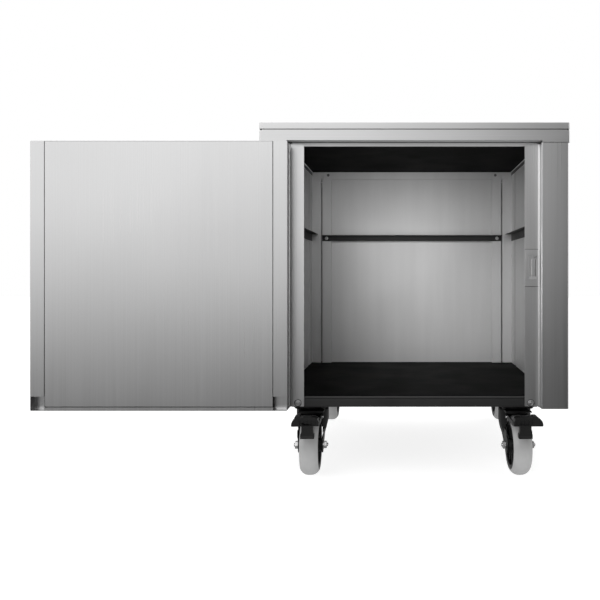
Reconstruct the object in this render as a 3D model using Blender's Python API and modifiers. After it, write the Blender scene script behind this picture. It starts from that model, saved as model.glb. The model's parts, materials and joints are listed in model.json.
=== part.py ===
"""Mobile stainless undercounter cabinet: one hinged door, shelf rails, four swivel casters.

Metres, +Z up, +X to the right, +Y to the back. The model is laid out in a cabinet frame (x = 0 on the
cabinet's centre line, y = 0 on the front faces of the stiles, z = 0 on the floor) and hangs on one
empty that moves it, so that the world origin is the bottom centre of the whole object, door open.
"""
import bpy
import bmesh
from math import cos, pi, radians, sin, sqrt, tan
from mathutils import Vector

# ---- driving dimensions -------------------------------------------------------------------------
SHEET = 0.0012                 # folded stainless sheet
GAP = 0.0003                   # clearance between pieces that touch

TOTAL_HEIGHT = 0.898
WORKTOP_HALF = 0.391
WORKTOP_DEPTH = 0.700
WORKTOP_EDGE = 0.0162
CORNER_R = 0.0040               # upright corners of the worktop, fascia and body
FRONT_LIP_Y = -0.0025          # front of the worktop's edge and of the fascia, ahead of the stiles
CORE_SETBACK = 0.0065

BODY_HALF = 0.3888
BODY_DEPTH = 0.695
FASCIA_TOP = 0.8785
FASCIA_BOTTOM = 0.8483         # over the stiles
FASCIA_WRAP = 0.012            # how far the front fascia turns back along each side
OPENING_TOP = 0.853            # over the door
GROOVE_LIP = 0.0022            # lip behind the dark groove under the worktop
BODY_TOP = 0.848
BODY_BOTTOM = 0.1770           # underside of the base, top of the casters

STILE_INNER = 0.3215           # where the stile's front face ends
RETURN_X = 0.3200              # side of the door recess
JAMB_INNER = 0.2815
JAMB_Y = 0.022                 # depth of the door recess
BEHIND_JAMB = 0.314            # half length of the rails that pass behind the jambs
JAMB_BOTTOM = 0.1790
COLUMN_BACK = 0.060
REAR_FLANGE = 0.018

LINER_X = 0.3520               # inner faces of the side walls
LINER_TOP = 0.8755
BACK_Y = 0.641                 # front face of the back frame
POST_OUTER = 0.3152
POST_INNER = 0.2830
TOP_RAIL_BOTTOM = 0.850
SIDE_RAIL_BOTTOM = 0.862       # rails along the tops of the side walls
TOP_RAIL_DROP = 0.0018         # the frame's face stands this far in front of the corner flanges
CORNER_FLANGE_X = 0.3192
GROOVE_Y = (0.552, 0.585)      # vertical groove pressed in each side wall
GROOVE_DEPTH = 0.003

FLOOR_TOP = 0.2045
FLOOR_LIP = 0.0040
BASE_TOP = 0.2000

HEADER_BOTTOM = 0.8425
HEADER_TOP = 0.8527

SHELF_TOP = 0.6526
SHELF_FLANGE = 0.020
SIDE_SHELF_RISE = 0.005        # the side rails stand this much above the rear one
SIDE_SHELF_FLANGE = 0.0215
SHELF_SHEET = 0.0015

DOOR_WIDTH = 0.6348
DOOR_TOP = 0.8462
DOOR_BOTTOM = 0.1786
DOOR_THICKNESS = 0.020
DOOR_STRIP = 0.0343            # returns down both sides of the inner face
DOOR_POCKET = 0.0353           # open corner below each strip
DOOR_FOOT = 0.0086             # return along the bottom
DOOR_SEAM = 0.0016
PIVOT_X = -0.3158
PIVOT_Y = -0.0045
HINGE_EDGE = -0.0006           # from the pivot back to the door's edge
DOOR_FACE = 0.0045             # from the pivot to the door's outer face

KNUCKLE_R = 0.0022
KNUCKLE_BORE = 0.00125
KNUCKLES = 9
HINGE_BOTTOM, HINGE_TOP = 0.181, 0.844
FRAME_LEAF = ((-0.0039, 0.0068), (-0.0031, 0.0225))     # low and high (x, y) from the pivot
FRAME_TAB = ((-0.0039, -0.0010), (-0.0017, 0.0074))
DOOR_LEAF = ((0.0009, -0.0225), (0.0015, -0.0060))
DOOR_TAB = ((0.0009, -0.0066), (0.0015, -0.0014))

CATCH_Z = (0.4855, 0.5795)
CATCH_BOX_X = (0.2908, 0.3118)
CATCH_BOX_Z = (0.5025, 0.5627)

WHEEL_R = 0.075
TREAD_WIDTH = 0.0468
TREAD_DROP = 0.0120             # from the middle of the tread to its sides
HUB_R = 0.060
TRAIL = 0.048                  # from the swivel axis to the axle
LEG_LOW, LEG_HIGH = 0.0300, 0.0395   # middle of each fork leg at the axle and at the crown
LEG_SHEET = 0.0032
CROWN_LOW, CROWN_HIGH = 0.1530, 0.1640
CROWN_R, SKIRT_LOW = 0.0425, 0.1020     # round crown and the skirt pressed down from it
RACE_R = 0.041
AXLE_R = 0.006
FRONT_SWIVEL_Y, REAR_SWIVEL_Y = 0.095, 0.619
CASTERS = {                    # x, y and heading of each swivel; heading 0 trails to the front
    "front_left": (-0.2695, FRONT_SWIVEL_Y, radians(2.5)),
    "front_right": (0.2675, FRONT_SWIVEL_Y, radians(1.7)),
    "rear_left": (-0.284, REAR_SWIVEL_Y, radians(181)),
    "rear_right": (0.3132, REAR_SWIVEL_Y, radians(180)),
}
PEDAL_WING = {"front_left": -0.0405, "front_right": 0.0455}   # where each pedal's wing ends

# The bottom centre of the whole object, door open, lies at the world origin.
DATUM = (0.27950, -0.347197, 0.0)

# ---- scene --------------------------------------------------------------------------------------
for old in list(bpy.data.objects):
    bpy.data.objects.remove(old, do_unlink=True)


def new_collection(name):
    made = bpy.data.collections.new(name)
    bpy.context.scene.collection.children.link(made)
    return made


PARTS = new_collection("undercounter_cabinet")
CUTTERS = new_collection("cutters")


def material(name, colour, roughness, metallic):
    made = bpy.data.materials.new(name)
    made.use_nodes = True
    shader = made.node_tree.nodes["Principled BSDF"]
    shader.inputs["Base Color"].default_value = (*colour, 1.0)
    shader.inputs["Roughness"].default_value = roughness
    shader.inputs["Metallic"].default_value = metallic
    return made


STAINLESS = material("stainless", (0.56, 0.56, 0.57), 0.32, 1.0)
BLACK_STEEL = material("black_steel", (0.015, 0.015, 0.016), 0.45, 0.0)
BLACK_BOARD = material("black_board", (0.012, 0.012, 0.012), 0.60, 0.0)
BLACK_PLASTIC = material("black_plastic", (0.018, 0.018, 0.020), 0.50, 0.0)
GREY_TREAD = material("grey_tread", (0.46, 0.48, 0.49), 0.62, 0.0)
ZINC = material("zinc", (0.72, 0.72, 0.74), 0.25, 1.0)
CORE_FOAM = material("core_foam", (0.75, 0.73, 0.66), 0.85, 0.0)


def empty(name, parent, location, heading=0.0):
    made = bpy.data.objects.new(name, None)
    PARTS.objects.link(made)
    made.parent = parent
    made.location = location
    made.rotation_euler = (0.0, 0.0, heading)
    return made


datum = empty("datum", None, DATUM)


def own(obj, name, surface, parent):
    """Give a finished object its name, material, collection and parent."""
    obj.name = name
    obj.data.name = name
    for holder in list(obj.users_collection):
        holder.objects.unlink(obj)
    (PARTS if surface else CUTTERS).objects.link(obj)
    obj.parent = parent
    if surface:
        obj.data.materials.clear()
        obj.data.materials.append(surface)
    else:
        obj.hide_render = True
        obj.display_type = "WIRE"
    return obj


def from_bmesh(mesh, name, surface, parent=datum, location=(0, 0, 0)):
    data = bpy.data.meshes.new(name)
    mesh.to_mesh(data)
    mesh.free()
    obj = bpy.data.objects.new(name, data)
    PARTS.objects.link(obj)
    obj.location = location
    return own(obj, name, surface, parent)


def add_boxes(mesh, boxes):
    """Add a cube to the bmesh for each pair of corners."""
    for low, high in boxes:
        made = bmesh.ops.create_cube(mesh, size=1.0)["verts"]
        size = [h - l for l, h in zip(low, high)]
        centre = [(h + l) / 2 for l, h in zip(low, high)]
        bmesh.ops.scale(mesh, vec=size, verts=made)
        bmesh.ops.translate(mesh, vec=centre, verts=made)


def box(name, surface, low, high, parent=datum, bevel=0.0):
    mesh = bmesh.new()
    add_boxes(mesh, [(low, high)])
    obj = from_bmesh(mesh, name, surface, parent)
    if bevel:
        add_bevel(obj, bevel)
    return obj


def add_bevel(obj, width, segments=1):
    mod = obj.modifiers.new("bevel", "BEVEL")
    mod.width = width
    mod.segments = segments
    mod.limit_method = "ANGLE"
    return mod


def add_solidify(obj, thickness, offset):
    mod = obj.modifiers.new("sheet", "SOLIDIFY")
    mod.thickness = thickness
    mod.offset = offset
    mod.use_even_offset = True
    return mod


def boolean(obj, other, operation):
    mod = obj.modifiers.new(operation.lower(), "BOOLEAN")
    mod.operation = operation
    mod.object = other
    mod.solver = "EXACT"
    mod.use_self = len(other.data.polygons) > 6 and operation == "UNION"


def cut_boxes(obj, name, boxes, parent=datum):
    mesh = bmesh.new()
    add_boxes(mesh, boxes)
    boolean(obj, from_bmesh(mesh, name, None, parent), "DIFFERENCE")


def join_boxes(obj, name, boxes, parent=datum):
    mesh = bmesh.new()
    add_boxes(mesh, boxes)
    boolean(obj, from_bmesh(mesh, name, None, parent), "UNION")


AXIS_TURN = {"X": (0.0, pi / 2, 0.0), "Y": (pi / 2, 0.0, 0.0), "Z": (0.0, 0.0, 0.0)}


def cylinder(name, surface, axis, centre, radius, length, parent=datum, sides=24):
    mesh = bmesh.new()
    bmesh.ops.create_cone(mesh, cap_ends=True, segments=sides, radius1=radius, radius2=radius,
                          depth=length)
    obj = from_bmesh(mesh, name, surface, parent, centre)
    obj.rotation_euler = AXIS_TURN[axis]
    return obj


def rounded_path(points, radii, steps=3):
    """Replace each inner corner of an open path with a bend of its own radius."""
    out = [Vector(points[0])]
    for before, corner, after, radius in zip(points, points[1:], points[2:], radii):
        p, a, b = Vector(corner), Vector(before), Vector(after)
        u, v = (a - p).normalized(), (b - p).normalized()
        half = u.angle(v) / 2
        reach = min(radius / tan(half), 0.45 * (a - p).length, 0.45 * (b - p).length)
        bend = reach * tan(half)
        centre = p + (u + v).normalized() * (bend / sin(half))
        start, end = p + u * reach - centre, p + v * reach - centre
        turn = start.angle_signed(end)
        for i in range(steps + 1):
            angle = -turn * i / steps
            out.append(centre + Vector((start.x * cos(angle) - start.y * sin(angle),
                                        start.x * sin(angle) + start.y * cos(angle))))
    out.append(Vector(points[-1]))
    return out


def arc(centre, radius, start, end, steps):
    return [(centre[0] + radius * cos(radians(start + (end - start) * i / steps)),
             centre[1] + radius * sin(radians(start + (end - start) * i / steps)))
            for i in range(steps + 1)]


def place(plane, u, v, w):
    """A point of a profile plane (u, v) at distance w along the plane's normal axis."""
    return {"XY": (u, v, w), "YZ": (w, u, v), "XZ": (u, w, v)}[plane]


def folded(name, surface, plane, path, span, parent=datum, radius=0.0020, thickness=SHEET):
    """Folded sheet: a mid-surface path with rounded bends, drawn out over a span."""
    mesh = bmesh.new()
    radii = radius if isinstance(radius, tuple) else (radius,) * len(path)
    points = rounded_path(path, radii)
    chain = [mesh.verts.new(place(plane, p.x, p.y, span[0])) for p in points]
    edges = [mesh.edges.new(pair) for pair in zip(chain, chain[1:])]
    drawn = bmesh.ops.extrude_edge_only(mesh, edges=edges)["geom"]
    moved = [g for g in drawn if isinstance(g, bmesh.types.BMVert)]
    bmesh.ops.translate(mesh, verts=moved, vec=place(plane, 0.0, 0.0, span[1] - span[0]))
    obj = from_bmesh(mesh, name, surface, parent)
    add_solidify(obj, thickness, 0.0)
    return obj


def pan(name, surface, plane, outline, face_w, depth, parent=datum, thickness=SHEET, corner=0.0):
    """Shallow tray: a flat outline at face_w with its rim turned back by depth (signed)."""
    mesh = bmesh.new()
    face = mesh.faces.new([mesh.verts.new(place(plane, u, v, face_w)) for u, v in outline])
    rim = bmesh.ops.extrude_edge_only(mesh, edges=list(face.edges))["geom"]
    moved = [g for g in rim if isinstance(g, bmesh.types.BMVert)]
    bmesh.ops.translate(mesh, verts=moved, vec=place(plane, 0.0, 0.0, depth))
    bmesh.ops.recalc_face_normals(mesh, faces=mesh.faces)
    inner = Vector(place(plane, 0.0, 0.0, depth))
    if face.normal.dot(inner) > 0:
        bmesh.ops.reverse_faces(mesh, faces=mesh.faces)
    obj = from_bmesh(mesh, name, surface, parent)
    if corner:
        add_bevel(obj, corner, 2)
    add_solidify(obj, thickness, -1.0)
    return obj


def plate(name, surface, plane, outline, span, parent=datum):
    """Flat plate: a closed 2D outline drawn out over a span (in metres along the normal)."""
    curve = bpy.data.curves.new(name, "CURVE")
    curve.dimensions = "2D"
    curve.fill_mode = "BOTH"
    curve.extrude = (span[1] - span[0]) / 2
    spline = curve.splines.new("POLY")
    spline.points.add(len(outline) - 1)
    for point, (u, v) in zip(spline.points, outline):
        point.co = (u, v, 0.0, 1.0)
    spline.use_cyclic_u = True
    shape = bpy.data.objects.new(name, curve)
    PARTS.objects.link(shape)
    shape.rotation_euler = {"XY": (0, 0, 0), "YZ": (pi / 2, 0, pi / 2), "XZ": (pi / 2, 0, 0)}[plane]
    shape.location = place(plane, 0.0, 0.0, (span[0] + span[1]) / 2)
    shape.parent = parent
    bpy.context.view_layer.update()
    solid = bpy.data.meshes.new_from_object(shape.evaluated_get(bpy.context.evaluated_depsgraph_get()))
    mesh = bmesh.new()
    mesh.from_mesh(solid)
    bmesh.ops.remove_doubles(mesh, verts=mesh.verts, dist=0.00001)
    bmesh.ops.recalc_face_normals(mesh, faces=mesh.faces)
    mesh.to_mesh(solid)
    mesh.free()
    obj = bpy.data.objects.new(name, solid)
    PARTS.objects.link(obj)
    obj.rotation_euler = shape.rotation_euler
    obj.location = shape.location
    bpy.data.objects.remove(shape, do_unlink=True)
    return own(obj, name, surface, parent)


def turned(name, surface, profile, axis, centre, parent=datum, sides=24):
    """Turned piece: (radius, height) points from the top down the outside, spun about the axis."""
    mesh = bmesh.new()
    chain = [mesh.verts.new((r, 0.0, h)) for r, h in profile]
    for pair in zip(chain, chain[1:]):
        mesh.edges.new(pair)
    if profile[0][0] > 1e-6:
        mesh.edges.new((chain[-1], chain[0]))
    obj = from_bmesh(mesh, name, surface, parent, centre)
    obj.rotation_euler = AXIS_TURN[axis]
    mod = obj.modifiers.new("spin", "SCREW")
    mod.axis = "Z"
    mod.steps = mod.render_steps = sides
    mod.use_merge_vertices = True
    mod.merge_threshold = 0.00001
    mod.use_normal_calculate = False
    return obj


# ---- worktop and top frame ----------------------------------------------------------------------
def make_worktop():
    half, front = WORKTOP_HALF, FRONT_LIP_Y
    back = front + WORKTOP_DEPTH
    edge, near = half - CORNER_R, front + CORNER_R
    far = back - CORNER_R
    outline = (arc((edge, near), CORNER_R, -90, 0, 3) + arc((edge, far), CORNER_R, 0, 90, 3)
               + arc((-edge, far), CORNER_R, 90, 180, 3) + arc((-edge, near), CORNER_R, 180, 270, 3))
    pan("worktop_skin", STAINLESS, "XY", outline, TOTAL_HEIGHT, -WORKTOP_EDGE, corner=0.0015)
    edge, near = half - CORE_SETBACK, front + CORE_SETBACK
    box("worktop_core", BLACK_BOARD, (-edge, near, FASCIA_TOP + GAP),
        (edge, back - CORE_SETBACK, TOTAL_HEIGHT - SHEET - GAP))
    box("ceiling_panel", BLACK_STEEL, (-LINER_X - 0.004, COLUMN_BACK + GAP, LINER_TOP + GAP),
        (LINER_X + 0.004, BODY_DEPTH - 0.026, LINER_TOP + 0.0018))


def make_fascia():
    flange, side_flange, front, half = 0.022, 0.006, FRONT_LIP_Y, WORKTOP_HALF
    notch, mid = STILE_INNER, SHEET / 2
    inner, face, wrap = half - side_flange - GAP, half - mid, front + FASCIA_WRAP
    path = [(-face, wrap), (-face, front + mid), (face, front + mid), (face, wrap)]
    rail = folded("fascia_front", STAINLESS, "XY", path, (FASCIA_BOTTOM, FASCIA_TOP), radius=CORNER_R)
    cut_boxes(rail, "fascia_notch", [((-notch, front - 0.01, FASCIA_BOTTOM - 0.01),
                                      (notch, front + 0.01, OPENING_TOP))])
    join_boxes(rail, "fascia_front_flanges", [
        ((-inner, front + mid, FASCIA_TOP - SHEET), (inner, front + flange, FASCIA_TOP)),
        ((-notch, front + mid, OPENING_TOP), (notch, JAMB_Y, OPENING_TOP + SHEET)),
        ((-inner, front + 0.0024, FASCIA_TOP - mid),
         (inner, front + 0.0034, FASCIA_TOP + GROOVE_LIP))])
    top = FASCIA_TOP - mid
    back = front + WORKTOP_DEPTH
    for side, name in ((-1, "fascia_left"), (1, "fascia_right")):
        path = [(side * (half - side_flange), top), (side * face, top), (side * face, FASCIA_BOTTOM)]
        folded(name, STAINLESS, "XZ", path, (wrap + GAP, back - SHEET - GAP))
    rear = back - mid
    path = [(rear - flange, top), (rear, top), (rear, FASCIA_BOTTOM)]
    folded("fascia_rear", STAINLESS, "YZ", path, (-inner, inner))


# ---- body shells --------------------------------------------------------------------------------
def make_side_shells():
    """Outer side, stile, door recess and jamb are one folded sheet on each side."""
    mid = SHEET / 2
    radii = (CORNER_R, CORNER_R, 0.0012, 0.0050)
    for side, name in ((-1, "left_side_shell"), (1, "right_side_shell")):
        path = [(BODY_HALF - REAR_FLANGE, BODY_DEPTH - mid), (BODY_HALF - mid, BODY_DEPTH - mid),
                (BODY_HALF - mid, mid), (RETURN_X + mid, mid), (RETURN_X + mid, JAMB_Y + mid),
                (JAMB_INNER, JAMB_Y + mid)]
        shell = folded(name, STAINLESS, "XY", [(side * x, y) for x, y in path],
                       (BODY_BOTTOM, BODY_TOP), radius=radii)
        hole = cylinder(name + "_screw_hole", None, "Y", (side * 0.297, JAMB_Y, 0.188), 0.0033, 0.01)
        boolean(shell, hole, "DIFFERENCE")
        if side > 0:
            cut_boxes(shell, "catch_cutout", [((CATCH_BOX_X[0], JAMB_Y - 0.005, CATCH_BOX_Z[0]),
                                               (CATCH_BOX_X[1], JAMB_Y + 0.005, CATCH_BOX_Z[1]))])
        foot = sorted((side * (JAMB_INNER - 0.01), side * (RETURN_X - 0.0040)))
        cut_boxes(shell, name + "_foot_relief", [((foot[0], 0.004, BODY_BOTTOM - 0.01),
                                                  (foot[1], 0.080, JAMB_BOTTOM))])
        screw = [(0.0, 0.0027), (0.0035, 0.0025), (0.0062, 0.0018), (0.0080, 0.0006), (0.0080, 0.0),
                 (0.0030, 0.0), (0.0030, -0.0120), (0.0, -0.0120)]
        turned(name.split("_")[0] + "_jamb_screw", ZINC, screw, "Y",
               (side * 0.297, JAMB_Y - GAP, 0.188), sides=14)
    face = JAMB_Y + SHEET + GAP + mid
    path = [(face, HEADER_BOTTOM), (face, HEADER_TOP - mid), (face + 0.022, HEADER_TOP - mid)]
    folded("header_rail", STAINLESS, "YZ", path, (-BEHIND_JAMB, BEHIND_JAMB), radius=0.001)


def make_liner():
    mid = SHEET / 2
    low, high = FLOOR_TOP + GAP, LINER_TOP
    near, far = GROOVE_Y
    for side, name in ((-1, "left_inner_panel"), (1, "right_inner_panel")):
        wall, deep = LINER_X + mid, LINER_X + mid + GROOVE_DEPTH
        path = [(RETURN_X + 0.0015, COLUMN_BACK + mid + GAP), (wall, COLUMN_BACK + mid + GAP),
                (wall, near), (deep, near + GROOVE_DEPTH), (deep, far - GROOVE_DEPTH), (wall, far),
                (wall, BACK_Y + mid), (CORNER_FLANGE_X, BACK_Y + mid)]
        folded(name, STAINLESS, "XY", [(side * x, y) for x, y in path], (low, high))
    face = BACK_Y - TOP_RAIL_DROP
    rail_end = LINER_X - 0.0022
    outline = [(-POST_OUTER, low), (-POST_INNER, low), (-POST_INNER, TOP_RAIL_BOTTOM),
               (POST_INNER, TOP_RAIL_BOTTOM), (POST_INNER, low), (POST_OUTER, low),
               (POST_OUTER, TOP_RAIL_BOTTOM), (rail_end, TOP_RAIL_BOTTOM), (rail_end, high),
               (-rail_end, high), (-rail_end, TOP_RAIL_BOTTOM), (-POST_OUTER, TOP_RAIL_BOTTOM)]
    frame = plate("back_frame", STAINLESS, "XZ", outline, (face, face + SHEET))
    rims, deep = [], BACK_Y + 0.012
    for side in (-1, 1):
        for x in (POST_INNER, POST_OUTER - SHEET):
            ends = sorted((side * x, side * (x + SHEET)))
            rims.append(((ends[0], face + mid, low), (ends[1], deep, high)))
    join_boxes(frame, "back_frame_rims", rims)
    panel_y = deep + GAP
    half = POST_OUTER - 0.0004
    box("back_inner_panel", STAINLESS, (-half, panel_y, low), (half, panel_y + SHEET, high))
    rail_y = (COLUMN_BACK + 0.004, face - 0.0010)
    for side, name in ((-1, "top_rail_left"), (1, "top_rail_right")):
        x = LINER_X - GAP - mid
        path = [(side * (x - 0.0035), high - mid), (side * x, high - mid), (side * x, SIDE_RAIL_BOTTOM)]
        folded(name, STAINLESS, "XZ", path, rail_y, radius=0.001)
    box("back_outer_panel", STAINLESS, (-BODY_HALF + 0.002, BODY_DEPTH + GAP, BODY_BOTTOM + 0.001),
        (BODY_HALF - 0.002, BODY_DEPTH + GAP + SHEET, BODY_TOP - 0.001))


# ---- base ---------------------------------------------------------------------------------------
def make_base():
    wide, narrow = LINER_X + 0.0080, BEHIND_JAMB
    front, step, back = JAMB_Y + SHEET + GAP, COLUMN_BACK + 2 * GAP, BACK_Y + 0.040
    outline = [(-narrow, front), (narrow, front), (narrow, step), (wide, step), (wide, back),
               (-wide, back), (-wide, step), (-narrow, step)]
    pan("floor_panel", BLACK_STEEL, "XY", outline, FLOOR_TOP, -FLOOR_LIP, corner=0.0028)
    mid, top, low = SHEET / 2, BASE_TOP - SHEET / 2, BODY_BOTTOM + SHEET / 2
    face, inner = front + 0.0005 + mid, COLUMN_BACK - 0.004
    path = [(inner, top), (face, top), (face, low), (inner, low)]
    rail = folded("base_front_rail", BLACK_STEEL, "YZ", path, (-narrow, narrow))
    for side, name in ((-1, "base_left_hole"), (1, "base_right_hole")):
        boolean(rail, cylinder(name, None, "Y", (side * 0.297, face, 0.188), 0.0033, 0.01), "DIFFERENCE")
    face, inner = BODY_DEPTH - SHEET - 0.001, 0.643
    folded("base_rear_rail", BLACK_STEEL, "YZ", [(inner, top), (face, top), (face, low), (inner, low)],
           (-wide, wide))
    face, inner = wide - mid, 0.310
    for side, name in ((-1, "base_left_rail"), (1, "base_right_rail")):
        path = [(side * inner, top), (side * face, top), (side * face, low), (side * inner, low)]
        folded(name, BLACK_STEEL, "XZ", path, (COLUMN_BACK + 2 * GAP, 0.642))
    for name, near in (("front_caster_channel", 0.0625), ("rear_caster_channel", 0.5485)):
        path = [(near, top), (near, low), (near + 0.091, low), (near + 0.091, top)]
        folded(name, BLACK_STEEL, "YZ", path, (-0.309, 0.309))


# ---- shelf rails --------------------------------------------------------------------------------
def make_shelf_rails():
    mid, low = SHELF_SHEET / 2, SHELF_TOP - SHELF_FLANGE
    top, wall = SHELF_TOP - mid, LINER_X - GAP - mid
    back = BACK_Y - TOP_RAIL_DROP - GAP - mid
    path = [(back - SHELF_FLANGE, top), (back, top), (back, low)]
    folded("shelf_rail_rear", BLACK_STEEL, "YZ", path, (-POST_OUTER, POST_OUTER), radius=0.001,
           thickness=SHELF_SHEET)
    top += SIDE_SHELF_RISE
    for side, name in ((-1, "shelf_rail_left"), (1, "shelf_rail_right")):
        path = [(side * (wall - SIDE_SHELF_FLANGE), top), (side * wall, top), (side * wall, low)]
        folded(name, BLACK_STEEL, "XZ", path, (COLUMN_BACK + 0.004, BACK_Y - 0.004), radius=0.001,
               thickness=SHELF_SHEET)


# ---- magnetic catch -----------------------------------------------------------------------------
def make_catch():
    front = JAMB_Y - 0.0010
    catch = box("catch_plate", STAINLESS, (JAMB_INNER + 0.0008, front, CATCH_Z[0]),
                (CATCH_BOX_X[1] + 0.0022, front + 0.0007, CATCH_Z[1]))
    cut_boxes(catch, "catch_plate_window", [((CATCH_BOX_X[0], front - 0.005, CATCH_BOX_Z[0]),
                                             (CATCH_BOX_X[1], front + 0.005, CATCH_BOX_Z[1]))])
    low = (CATCH_BOX_X[0] + GAP, front - 0.0004, CATCH_BOX_Z[0] + GAP)
    high = (CATCH_BOX_X[1] - GAP, front + 0.020, CATCH_BOX_Z[1] - GAP)
    housing = box("catch_housing", BLACK_PLASTIC, low, high)
    slots = (0.2993, 0.3075)
    slot_z = (0.512, 0.553)
    cut_boxes(housing, "catch_slots", [((x - 0.0013, 0.0, slot_z[0]), (x + 0.0013, 0.1, slot_z[1]))
                                       for x in slots])
    poles = box("catch_pole_piece", ZINC, (slots[0] - 0.0010, high[1] + GAP, slot_z[0] + GAP),
                (slots[1] + 0.0010, high[1] + GAP + 0.0020, slot_z[1] - GAP))
    join_boxes(poles, "catch_pole_tips", [((x - 0.0010, low[1] + 0.0006, slot_z[0] + GAP),
                                           (x + 0.0010, high[1] + 0.0010, slot_z[1] - GAP))
                                          for x in slots])


# ---- door and continuous hinge ------------------------------------------------------------------
def make_hinge_leaf(name, parent, strip, tab, first):
    """One leaf: a strip, its share of the knuckles and the tabs that join them, bored for the pin.

    Every other knuckle, counted from first, belongs to this leaf. Positions are from the pivot.
    """
    pitch = (HINGE_TOP - HINGE_BOTTOM) / KNUCKLES
    leaf = box(name, STAINLESS, (*strip[0], HINGE_BOTTOM), (*strip[1], HINGE_TOP), parent)
    tabs, rounds = bmesh.new(), bmesh.new()
    for index in range(first, KNUCKLES, 2):
        low = HINGE_BOTTOM + index * pitch + GAP
        high = low + pitch - 2 * GAP
        add_boxes(tabs, [((*tab[0], low), (*tab[1], high))])
        made = bmesh.ops.create_cone(rounds, cap_ends=True, segments=12, radius1=KNUCKLE_R,
                                     radius2=KNUCKLE_R, depth=high - low)["verts"]
        bmesh.ops.translate(rounds, verts=made, vec=(0, 0, (low + high) / 2))
    boolean(leaf, from_bmesh(tabs, name + "_tabs", None, parent), "UNION")
    boolean(leaf, from_bmesh(rounds, name + "_knuckles", None, parent), "UNION")
    middle = (HINGE_BOTTOM + HINGE_TOP) / 2
    bore = cylinder(name + "_bore", None, "Z", (0, 0, middle), KNUCKLE_BORE, 0.7, parent, sides=12)
    boolean(leaf, bore, "DIFFERENCE")


def make_hinge_and_door():
    pivot = empty("hinge_axis", datum, (PIVOT_X, PIVOT_Y, 0.0))
    door = empty("door_axis", datum, (PIVOT_X, PIVOT_Y, 0.0))
    make_hinge_leaf("hinge_frame_leaf", pivot, FRAME_LEAF, FRAME_TAB, 0)
    make_hinge_leaf("hinge_door_leaf", door, DOOR_LEAF, DOOR_TAB, 1)
    cylinder("hinge_pin", ZINC, "Z", (0, 0, (HINGE_BOTTOM + HINGE_TOP) / 2), 0.0010,
             HINGE_TOP - HINGE_BOTTOM + 0.001, pivot, sides=10)

    right, left = -HINGE_EDGE, -HINGE_EDGE - DOOR_WIDTH
    outer, inner = -DOOR_FACE, -DOOR_FACE - DOOR_THICKNESS
    outline = [(left, DOOR_BOTTOM), (right, DOOR_BOTTOM), (right, DOOR_TOP), (left, DOOR_TOP)]
    skin = pan("door_outer_pan", STAINLESS, "XZ", outline, outer, -DOOR_THICKNESS, door, corner=0.002)
    strip_low = DOOR_BOTTOM + DOOR_POCKET
    rim = SHEET / 2
    join_boxes(skin, "door_returns", [
        ((left + rim, inner, strip_low), (left + DOOR_STRIP, inner + SHEET, DOOR_TOP - rim)),
        ((right - DOOR_STRIP, inner, strip_low), (right - rim, inner + SHEET, DOOR_TOP - rim)),
        ((left + DOOR_STRIP, inner, DOOR_BOTTOM + rim),
         (right - DOOR_STRIP, inner + SHEET, DOOR_BOTTOM + DOOR_FOOT))], door)
    seam = DOOR_SEAM
    x0, x1 = left + DOOR_STRIP + seam, right - DOOR_STRIP - seam
    z0, z1 = DOOR_BOTTOM + DOOR_FOOT + seam, DOOR_TOP - SHEET - GAP
    outline = [(x0, z0), (x1, z0), (x1, z1), (x0, z1)]
    depth = DOOR_THICKNESS - SHEET - 0.0010
    pan("door_inner_panel", STAINLESS, "XZ", outline, inner, depth, door)
    lining = SHEET + GAP
    box("door_core", CORE_FOAM, (x0 + lining, inner + lining, z0 + lining),
        (x1 - lining, outer - lining, z1 - lining), door)


# ---- casters ------------------------------------------------------------------------------------
def tread_profile():
    """Crowned section of the tyre from one side to the other, then straight back along the bore."""
    half, steps = TREAD_WIDTH / 2, 8
    crown = []
    for i in range(steps + 1):
        h = half * cos(pi * i / steps)
        crown.append((WHEEL_R - TREAD_DROP * abs(h / half) ** 3, h))
    return [(HUB_R + GAP, half)] + crown + [(HUB_R + GAP, -half)]


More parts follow.
